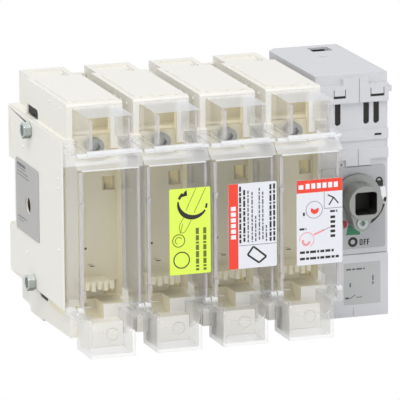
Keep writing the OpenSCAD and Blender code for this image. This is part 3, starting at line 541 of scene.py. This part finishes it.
class FUSESWITCH_OT_stickers(bpy.types.Operator):
    """Prints generic shapes on the three cover stickers"""

    bl_idname = "fuseswitch.stickers"
    bl_label = "Stickers"

    def execute(self, context):
        _, sizes = settings()
        depth = STICKER_FACE + sizes.print_lift / MM
        self.lime(pole_x(2), depth)
        self.side_band(pole_x(3), depth)
        self.top_band(pole_x(4), depth)
        return {"FINISHED"}

    def lime(self, cx, depth):
        """A turning arrow, the outline of a tool, a ring and rows of dashes."""
        bm = bmesh.new()
        outer = arc(cx + 7.6, 14.0, 8.2, 168, 332)
        inner = [(x + (cx + 7.6 - x) * t, z + (14.0 - z) * t) for (x, z), t in
                 zip(outer, [0.1 + 0.2 * math.sin(math.pi * k / 40) for k in range(41)])]
        add_strip(bm, inner, outer, depth)
        add_ring(bm, cx + 7.6, 14.0, 7.2, 8.3, depth, 340, 358)
        add_ring(bm, cx + 7.6, 14.0, 7.0, 8.4, depth, 132, 158)
        add_polygon(bm, ((cx + 1.9, 18.0), (cx + 4.9, 18.6), (cx + 4.6, 21.6), (cx + 3.2, 20.4)),
                    depth)
        add_ring(bm, cx + 1.6, -15.2, 3.9, 4.5, depth)
        finish_piece("lime_print", bm, MATERIALS["ink"], "cover_2")
        bm = bmesh.new()
        outline = (((9.5, 22.0), (4.2, 10.8)), ((14.8, 22.0), (8.5, 9.3)), ((3.0, 7.4), (0.5, 3.0)),
                   ((6.9, 5.5), (5.0, 1.8)), ((0.5, 3.0), (1.0, -0.9)), ((5.0, 1.8), (3.2, -0.7)),
                   ((1.0, -0.9), (3.2, -0.7)), ((2.4, 4.0), (1.2, -0.6)))
        for a, b in outline:
            add_line(bm, (cx + a[0], a[1]), (cx + b[0], b[1]), 0.3, depth)
        add_ring(bm, cx + 0.1, -4.9, 3.0, 3.5, depth)
        add_ring(bm, cx + 0.1, -4.9, 1.6, 2.0, depth, 30, 250)
        for x in (10.2, 14.2):
            add_words(bm, 1.2, -21.3, cx + x, 1.7, depth, True, (6, 5, 2, 5))
        finish_piece("lime_lines", bm, MATERIALS["olive_ink"], "cover_2")

    def side_band(self, cx, depth):
        """A red band with plain blocks, rows of dashes and a lozenge."""
        upper = depth + SECOND_PRINT
        bm = bmesh.new()
        add_polygon(bm, rect((cx - 8.85, cx - 3.6), (-22.45, 22.45)), depth)
        finish_piece("side_band", bm, MATERIALS["red"], "cover_3")
        bm = bmesh.new()
        for k in range(6):
            add_polygon(bm, rect((cx - 7.6, cx - 4.9), (10.6 - 3.0 * k, 8.4 - 3.0 * k)), upper)
        finish_piece("side_band_blocks", bm, MATERIALS["white_ink"], "cover_3")
        bm = bmesh.new()
        for x, top in ((-2.5, 21.0), (-0.3, 19.0), (14.0, 21.0), (16.0, 21.2)):
            add_words(bm, top, -9.0, cx + x, 1.1, depth, True)
        add_line(bm, (cx + 4.6, -11.2), (cx + 1.4, -15.4), 1.0, depth)
        add_line(bm, (cx + 1.4, -15.4), (cx + 7.6, -20.0), 1.0, depth)
        add_line(bm, (cx + 4.6, -11.2), (cx + 11.6, -17.0), 1.0, depth)
        add_line(bm, (cx + 7.6, -20.0), (cx + 11.6, -17.0), 1.0, depth)
        finish_piece("side_band_print", bm, MATERIALS["ink"], "cover_3")
        bm = bmesh.new()
        add_polygon(bm, rect((cx - 3.2, cx + 17.2), (-10.4, -10.15)), depth)
        rows = ((1.8, 18.5), (4.0, 17.6), (5.9, 4.9), (7.9, 19.6), (9.8, 17.4), (11.7, -0.4))
        for x, top in rows:
            add_words(bm, top, -8.8, cx + x, 0.75, depth, True, (3, 2, 5, 2, 4, 3))
        finish_piece("side_band_lines", bm, MATERIALS["grey_ink"], "cover_3")

    def top_band(self, cx, depth):
        """A red band with plain blocks over rings, boxes and rows of dashes."""
        upper = depth + SECOND_PRINT
        bm = bmesh.new()
        add_polygon(bm, rect((cx - 7.65, cx + 17.35), (14.7, 21.45)), depth)
        add_ring(bm, cx + 2.2, 5.4, 0.0, 2.2, depth, 150, 390)
        finish_piece("top_band", bm, MATERIALS["red"], "cover_4")
        bm = bmesh.new()
        for k in range(6):
            add_polygon(bm, rect((cx - 2.8 + 3.1 * k, cx - 0.6 + 3.1 * k), (16.7, 19.5)), upper)
        add_polygon(bm, rect((cx - 6.6, cx - 4.0), (16.7, 19.0)), upper)
        finish_piece("top_band_blocks", bm, MATERIALS["white_ink"], "cover_4")
        bm = bmesh.new()
        add_ring(bm, cx - 2.2, -10.2, 3.7, 4.1, depth, -60, 190)
        add_ring(bm, cx - 2.6, -11.0, 1.2, 2.4, depth, 150, 360)
        add_line(bm, (cx + 1.6, -7.8), (cx + 7.4, -5.6), 1.0, depth)
        finish_piece("top_band_pink", bm, MATERIALS["pink"], "cover_4")
        bm = bmesh.new()
        add_ring(bm, cx + 1.9, 5.5, 4.35, 4.6, depth)
        for a, b in (((7.4, 14.4), (7.4, 5.7)), ((7.4, 5.7), (17.3, 5.7)),
                     ((7.4, -5.6), (10.4, -4.5))):
            add_line(bm, (cx + a[0], a[1]), (cx + b[0], b[1]), 0.25, depth)
        finish_piece("top_band_lines", bm, MATERIALS["grey_ink"], "cover_4")
        bm = bmesh.new()
        for a, b in (((9.4, 12.8), (12.6, 11.2)), ((12.6, 11.2), (15.2, 8.0)),
                     ((12.4, 11.0), (10.0, 7.4))):
            add_line(bm, (cx + a[0], a[1]), (cx + b[0], b[1]), 0.7, depth)
        for k in range(5):
            add_polygon(bm, rect((cx + 10.8, cx + 13.4), (1.6 - 2.5 * k, 0.2 - 2.5 * k)), depth)
        add_polygon(bm, rect((cx - 4.3, cx - 3.2), (2.6, 4.4)), depth)
        add_words(bm, cx - 6.2, cx - 2.4, -4.4, 1.1, depth)
        add_words(bm, cx + 10.6, cx + 14.6, 4.0, 1.1, depth)
        add_words(bm, cx - 6.0, cx + 12.6, -16.8, 1.3, depth)
        add_words(bm, cx - 6.0, cx + 15.4, -20.2, 1.3, depth)
        finish_piece("top_band_print", bm, MATERIALS["ink"], "cover_4")


class FUSESWITCH_OT_fascia(bpy.types.Operator):
    """Prints the position fields round the coupling and the plain labels"""

    bl_idname = "fuseswitch.fascia"
    bl_label = "Fascia print"

    def execute(self, context):
        _, sizes = settings()
        lift = sizes.print_lift / MM
        self.position_fields(FASCIA_FACE + lift)
        self.signs(FASCIA_FACE + lift)
        self.front_label(LOWER_COVER_FACE + lift)
        self.side_label(LABEL_X - lift)
        return {"FINISHED"}

    def position_fields(self, depth):
        bm = bmesh.new()
        add_polygon(bm, ((86.4, -11.8), (88.7, -12.6), (88.9, -15.6), (87.0, -16.6)), depth)
        finish_piece("on_field", bm, MATERIALS["on_field"], "frame")
        bm = bmesh.new()
        add_polygon(bm, ((88.4, -20.2), (96.2, -20.4), (96.2, -15.0), (89.8, -14.4)), depth)
        finish_piece("off_field", bm, MATERIALS["off_field"], "frame")
        bm = bmesh.new()
        add_ring(bm, AXIS_X, 0, 14.2, 16.9, depth, -7, 17)
        finish_piece("lock_field", bm, MATERIALS["white_ink"], "frame")

    def signs(self, depth):
        """The turning arc, a plain lock shape, the O and the word OFF."""
        bm = bmesh.new()
        add_ring(bm, AXIS_X, 0, 15.4, 17.0, depth, -62, -17)
        add_ring(bm, AXIS_X, 0, 15.8, 17.2, depth, -12, -4)
        add_polygon(bm, rect((104.8, 109.2), (5.0, 8.2)), depth)
        add_ring(bm, 107.0, 8.2, 1.0, 1.95, depth, 0, 180)
        add_ring(bm, 92.2, -24.1, 1.25, 2.7, depth)
        add_polygon(bm, rect((96.0, 96.6), (-25.9, -23.1)), depth)
        add_polygon(bm, rect((97.1, 97.7), (-25.9, -23.1)), depth)
        add_polygon(bm, rect((96.2, 97.5), (-23.4, -22.9)), depth)
        add_polygon(bm, rect((96.2, 97.5), (-26.1, -25.6)), depth)
        for x in (98.3, 100.1):
            add_polygon(bm, rect((x, x + 0.6), (-26.1, -22.9)), depth)
            add_polygon(bm, rect((x + 0.6, x + 1.4), (-23.5, -22.9)), depth)
            add_polygon(bm, rect((x + 0.6, x + 1.2), (-24.8, -24.2)), depth)
        finish_piece("fascia_print", bm, MATERIALS["ink"], "frame")

    def front_label(self, depth):
        """A grey field with dashes and a plain switch diagram."""
        upper = depth + SECOND_PRINT
        bm = bmesh.new()
        add_polygon(bm, rect((87.1, 107.8), (-58.3, -35.5)), depth)
        finish_piece("label_field", bm, MATERIALS["label_field"], "frame")
        bm = bmesh.new()
        add_words(bm, 88.6, 99.0, -39.0, 0.9, upper)
        add_polygon(bm, rect((90.4, 91.2), (-48.6, -46.4)), upper)
        add_words(bm, -43.0, -48.6, 103.6, 0.7, upper, True)
        for a, b in (((88.0, -54.6), (91.2, -54.6)), ((91.2, -54.6), (93.6, -53.0)),
                     ((94.2, -54.4), (97.4, -54.4))):
            add_line(bm, a, b, 0.4, upper)
        add_polygon(bm, rect((88.2, 89.8), (-55.1, -54.0)), upper)
        finish_piece("label_print", bm, MATERIALS["grey_ink"], "frame")

    def side_label(self, x):
        """Rows of dashes on the label of the end plate."""
        bm = bmesh.new()
        rows = ((20.0, 19.0, 34.0, 1.6), (17.6, 19.0, 34.0, 0.5), (15.6, 19.0, 38.0, 0.5),
                (13.8, 19.0, 40.0, 0.5), (-8.6, 20.0, 36.0, 0.6), (-10.4, 20.0, 30.0, 0.4))
        for z, start, end, tall in rows:
            at, k = start, 0
            while at < end:
                stop = min(at + (2.6, 1.4, 3.2, 1.8)[k % 4], end)
                add_side_polygon(bm, ((at, z), (at, z - tall), (stop, z - tall), (stop, z)), x)
                at, k = stop + 0.5, k + 1
        finish_piece("side_label_print", bm, MATERIALS["grey_ink"], "frame")


class FUSESWITCH_OT_hollows(bpy.types.Operator):
    """Paints shade into the slots, pockets and socket, paints light into the windows, and adds the
    pips and roof ribs
    """

    bl_idname = "fuseswitch.hollows"
    bl_label = "Hollows and small marks"

    def execute(self, context):
        self.slots()
        self.socket()
        self.pockets()
        self.windows()
        self.pips()
        self.roofs()
        return {"FINISHED"}

    def slots(self):
        """Shade in the vents, clip slots, band slot and lid pocket of the mechanism."""
        bm = bmesh.new()
        for x in (84.4, 100.3, 105.9):
            add_box(bm, (x - 1.5, x + 1.5), (78.2, 78.5), (39.6, 50.2))
        for x in ((81.6, 88.2), (102.1, 109.7)):
            add_box(bm, x, (80.0, 80.3), (53.75, 55.05))
        add_box(bm, (104.5, 108.3), (79.6, 79.8), (32.65, 33.75))
        pocket = (94.4, 103.4)
        add_box(bm, pocket, (5.6, 5.8), (56.0, 64.8))
        add_box(bm, pocket, (5.8, 15.9), (58.0, 58.2))
        finish_piece("slot_shade", bm, MATERIALS["hole_shade"], "frame")

    def socket(self):
        """Shade on the floor and the four walls of the coupling's socket."""
        bm = bmesh.new()
        half, flat = SOCKET_HALF, SOCKET_HALF - SOCKET_CORNER
        bottom, floor, mouth = SOCKET_DEPTHS
        add_box(bm, (AXIS_X - half, AXIS_X + half), (bottom, floor), (-half, half))
        for x in (-half, half - 0.1):
            add_box(bm, (AXIS_X + x, AXIS_X + x + 0.1), (floor, mouth), (-flat, flat))
        for z in (-half, half - 0.1):
            add_box(bm, (AXIS_X - flat, AXIS_X + flat), (floor, mouth), (z, z + 0.1))
        finish_piece("socket_shade", bm, MATERIALS["hole_shade"], "coupling")

    def pockets(self):
        """Shade in the pockets above and below the nuts, and painted shade for small slits in the
        back walls.
        """
        bm = bmesh.new()
        add_box(bm, (-68.5, -68.3), (25.6, 43.4), (47.0, 51.5))
        add_box(bm, (-68.5, -68.3), (43.6, 57.4), (-47.8, -43.4))
        for i in POLES:
            cx = pole_x(i)
            # painted shade for small slits in the back walls
            mark = (BACK_WALL, BACK_WALL + 0.16)
            add_box(bm, (cx - 1.6, cx - 0.4), mark, (-16.1, -14.9))
            add_box(bm, (cx + 1.4, cx + 3.8), mark, (-25.4, -24.9))
        finish_piece("pocket_shade", bm, MATERIALS["hole_shade"], "frame")

    def windows(self):
        """Khaki strips beside the clips in the windows, and a khaki ground behind them, with a
        faint painted glow.
        """
        bm = bmesh.new()
        left, right = WINDOW_SPAN
        for i in POLES:
            cx = pole_x(i)
            for z in WINDOW_HEIGHTS:
                high = (z - WINDOW_HALF, z + WINDOW_HALF)
                add_box(bm, (cx + left, cx + left + 1.4), (77.4, 77.6), high)
                add_box(bm, (cx + right - 1.4, cx + right), (77.4, 77.6), high)
                add_box(bm, (cx + left, cx + right), (62.0, 62.2), high)
        finish_piece("window_light", bm, MATERIALS["window"], "frame")

    def pips(self):
        """Small round marks on the end plate."""
        bm = bmesh.new()
        for depth, z in ((93.0, 26.0), (93.0, 21.0), (30.0, 30.0), (34.0, -26.0), (92.0, -12.0)):
            bmesh.ops.create_uvsphere(bm, u_segments=16, v_segments=8, radius=0.9,
                                      matrix=Matrix.Translation((END_PLATE_X, -depth, z)))
        finish_piece("plate_pips", bm, MATERIALS["housing"], "frame")

    def roofs(self):
        """Low ribs, a cross and pips on the tops of the housings."""
        bm = bmesh.new()
        for i in POLES:
            cx = pole_x(i)
            for x in (-9.6, 1.4, 9.6):
                add_box(bm, (cx + x, cx + x + 0.5), (30.0, 90.0), (ROOF, ROOF + 0.45))
            for depth in (46.0, 62.0, 78.0):
                add_box(bm, (cx - 9.6, cx + 10.1), (depth, depth + 0.5), (ROOF, ROOF + 0.4))
            add_box(bm, (cx + 4.6, cx + 8.6), (20.3, 20.9), (ROOF, ROOF + 0.5))
            add_box(bm, (cx + 6.3, cx + 6.9), (18.0, 23.2), (ROOF, ROOF + 0.5))
            for depth in (34.0, 40.0):
                bmesh.ops.create_uvsphere(bm, u_segments=12, v_segments=6, radius=0.7,
                                          matrix=Matrix.Translation((cx + 5.4, -depth, ROOF + 0.1)))
        finish_piece("roof_ribs", bm, MATERIALS["housing"], "frame")


class FUSESWITCH_OT_clear_light(bpy.types.Operator):
    """Adds the thick corners, rims and small bosses of the clear parts as milky pieces that carry
    painted light
    """

    bl_idname = "fuseswitch.clear_light"
    bl_label = "Light in the clear parts"

    def execute(self, context):
        for i in POLES:
            cx = pole_x(i)
            bm = bmesh.new()
            # painted highlight in the thick side corners and small bosses of the cover
            for side, wide in ((-1, 1.7), (1, 1.0)):
                x = sorted((cx + side * 16.08, cx + side * (16.08 - wide)))
                add_box(bm, x, (118.3, 119.86), (-38.0, 34.4))
            for z in (17.3, -28.4):
                add_box(bm, (cx - 16.4, cx - 14.4), (118.6, 121.4), (z - 1.2, z + 1.2))
            finish_piece(f"cover_corner_highlight_{i}", bm, MATERIALS["clear_corner_highlight"], f"cover_{i}")
            bm = bmesh.new()
            # painted highlight along the top and foot of the cover's slope
            add_box(bm, (cx - 15.4, cx + 15.4), (121.0, 121.46), (35.2, 36.0))
            add_box(bm, (cx - 15.4, cx + 15.4), (114.6, 115.4), (40.9, 41.5))
            finish_piece(f"slope_light_{i}", bm, MATERIALS["clear_edge_highlight"], f"cover_{i}")
            bm = bmesh.new()
            # painted highlight in the thick corners of the hood
            for side, wide in ((-1, 1.3), (1, 0.8)):
                x = sorted((cx + side * 10.68, cx + side * (10.68 - wide)))
                add_box(bm, x, (120.2, 121.46), (46.4, 61.5))
            finish_piece(f"hood_corner_highlight_{i}", bm, MATERIALS["clear_corner_highlight"], "frame")
            bm = bmesh.new()
            # painted highlight on the rims of the hood
            add_box(bm, (cx - 13.0, cx + 13.0), (122.9, 123.6), (44.7, 46.0))
            add_box(bm, (cx - 17.4, cx + 17.4), (119.4, 120.5), (43.0, 44.4))
            finish_piece(f"rim_light_{i}", bm, MATERIALS["clear_edge_highlight"], "frame")
        return {"FINISHED"}


class FUSESWITCH_OT_stage(bpy.types.Operator):
    """Adds the floor, the lights and the camera of the photograph"""

    bl_idname = "fuseswitch.stage"
    bl_label = "Stage"

    def execute(self, context):
        scene = context.scene
        self.add_world(scene)
        self.add_floor(scene)
        self.add_light(scene, "key", (-1.0, -1.2, 2.8), 2.4, 52.0)
        self.add_light(scene, "front", (1.2, -3.0, 0.8), 2.0, 9.0)
        self.add_camera(scene)
        scene.view_settings.view_transform = "Standard"
        return {"FINISHED"}

    def add_world(self, scene):
        world = bpy.data.worlds.new("studio")
        world.use_nodes = True
        nodes, links = world.node_tree.nodes, world.node_tree.links
        seen = nodes.new("ShaderNodeBackground")
        seen.inputs["Color"].default_value = (1, 1, 1, 1)
        seen.inputs["Strength"].default_value = 1.0
        lit = nodes["Background"]
        lit.inputs["Color"].default_value = linear("F4F6FA")
        lit.inputs["Strength"].default_value = 0.72
        path = nodes.new("ShaderNodeLightPath")
        mix = nodes.new("ShaderNodeMixShader")
        links.new(path.outputs["Is Camera Ray"], mix.inputs["Fac"])
        links.new(lit.outputs["Background"], mix.inputs[1])
        links.new(seen.outputs["Background"], mix.inputs[2])
        links.new(mix.outputs["Shader"], nodes["World Output"].inputs["Surface"])
        scene.world = world

    def add_floor(self, scene):
        mesh = bpy.data.meshes.new("floor")
        bm = bmesh.new()
        bmesh.ops.create_grid(bm, x_segments=1, y_segments=1, size=3.0,
                              matrix=Matrix.Translation((0, 0, FLOOR_HEIGHT)))
        bm.to_mesh(mesh)
        bm.free()
        material, nodes, links, shader = new_material("floor_white")
        shader.inputs["Base Color"].default_value = linear("F2F2F2")
        shader.inputs["Roughness"].default_value = 0.8
        glow = nodes.new("ShaderNodeEmission")
        path = nodes.new("ShaderNodeLightPath")
        mix = nodes.new("ShaderNodeMixShader")
        seen = nodes.new("ShaderNodeMath")
        seen.operation = "MAXIMUM"
        links.new(path.outputs["Is Camera Ray"], seen.inputs[0])
        links.new(path.outputs["Is Transmission Ray"], seen.inputs[1])
        links.new(seen.outputs["Value"], mix.inputs["Fac"])
        links.new(shader.outputs["BSDF"], mix.inputs[1])
        links.new(glow.outputs["Emission"], mix.inputs[2])
        links.new(mix.outputs["Shader"], nodes["Material Output"].inputs["Surface"])
        mesh.materials.append(material)
        obj = bpy.data.objects.new("floor", mesh)
        scene.collection.objects.link(obj)

    def add_light(self, scene, name, place, size, power):
        data = bpy.data.lights.new(name, "AREA")
        data.shape = "DISK"
        data.size = size
        data.energy = power
        obj = bpy.data.objects.new(name, data)
        scene.collection.objects.link(obj)
        obj.location = place
        obj.rotation_euler = (-Vector(place)).to_track_quat("-Z", "Y").to_euler()

    def add_camera(self, scene):
        yaw, pitch = math.radians(CAMERA_YAW), math.radians(CAMERA_PITCH)
        roll = math.radians(CAMERA_ROLL)
        ahead = Vector((math.sin(yaw) * math.cos(pitch), math.cos(yaw) * math.cos(pitch),
                        -math.sin(pitch)))
        right = Vector((math.cos(yaw), -math.sin(yaw), 0))
        up = right.cross(ahead)
        across = math.cos(roll) * right + math.sin(roll) * up
        upward = math.cos(roll) * up - math.sin(roll) * right
        data = bpy.data.cameras.new("camera")
        data.lens = LENS
        data.sensor_width = 36.0
        data.clip_end = 20.0
        obj = bpy.data.objects.new("camera", data)
        turn = Matrix((across, upward, -ahead)).transposed().to_4x4()
        obj.matrix_world = Matrix.Translation(Vector(CAMERA_AT) * MM) @ turn
        scene.collection.objects.link(obj)
        scene.camera = obj


class FUSESWITCH_PT_panel(bpy.types.Panel):
    """Lists the operators and settings in the sidebar"""

    bl_idname = "FUSESWITCH_PT_panel"
    bl_label = "Fuse switch"
    bl_space_type = "VIEW_3D"
    bl_region_type = "UI"
    bl_category = "Fuse switch"

    def draw(self, context):
        for operator in OPERATORS:
            self.layout.operator(operator.bl_idname)
        for group in (context.scene.fuse_switch_colours, context.scene.fuse_switch_sizes):
            for name in group.bl_rna.properties.keys():
                if name not in ("rna_type", "name"):
                    self.layout.prop(group, name)


OPERATORS = (
    FUSESWITCH_OT_materials,
    FUSESWITCH_OT_edges,
    FUSESWITCH_OT_stickers,
    FUSESWITCH_OT_fascia,
    FUSESWITCH_OT_hollows,
    FUSESWITCH_OT_clear_light,
    FUSESWITCH_OT_stage,
)
GROUPS = (FuseSwitchColours, FuseSwitchSizes)


def register():
    for cls in (*GROUPS, *OPERATORS, FUSESWITCH_PT_panel):
        bpy.utils.register_class(cls)
    scene = bpy.types.Scene
    scene.fuse_switch_colours = bpy.props.PointerProperty(type=FuseSwitchColours)
    scene.fuse_switch_sizes = bpy.props.PointerProperty(type=FuseSwitchSizes)


def unregister():
    del bpy.types.Scene.fuse_switch_colours
    del bpy.types.Scene.fuse_switch_sizes
    for cls in reversed((*GROUPS, *OPERATORS, FUSESWITCH_PT_panel)):
        bpy.utils.unregister_class(cls)


def main():
    register()
    for operator in OPERATORS:
        group, name = operator.bl_idname.split(".")
        getattr(getattr(bpy.ops, group), name)()


if __name__ == "__main__":
    main()
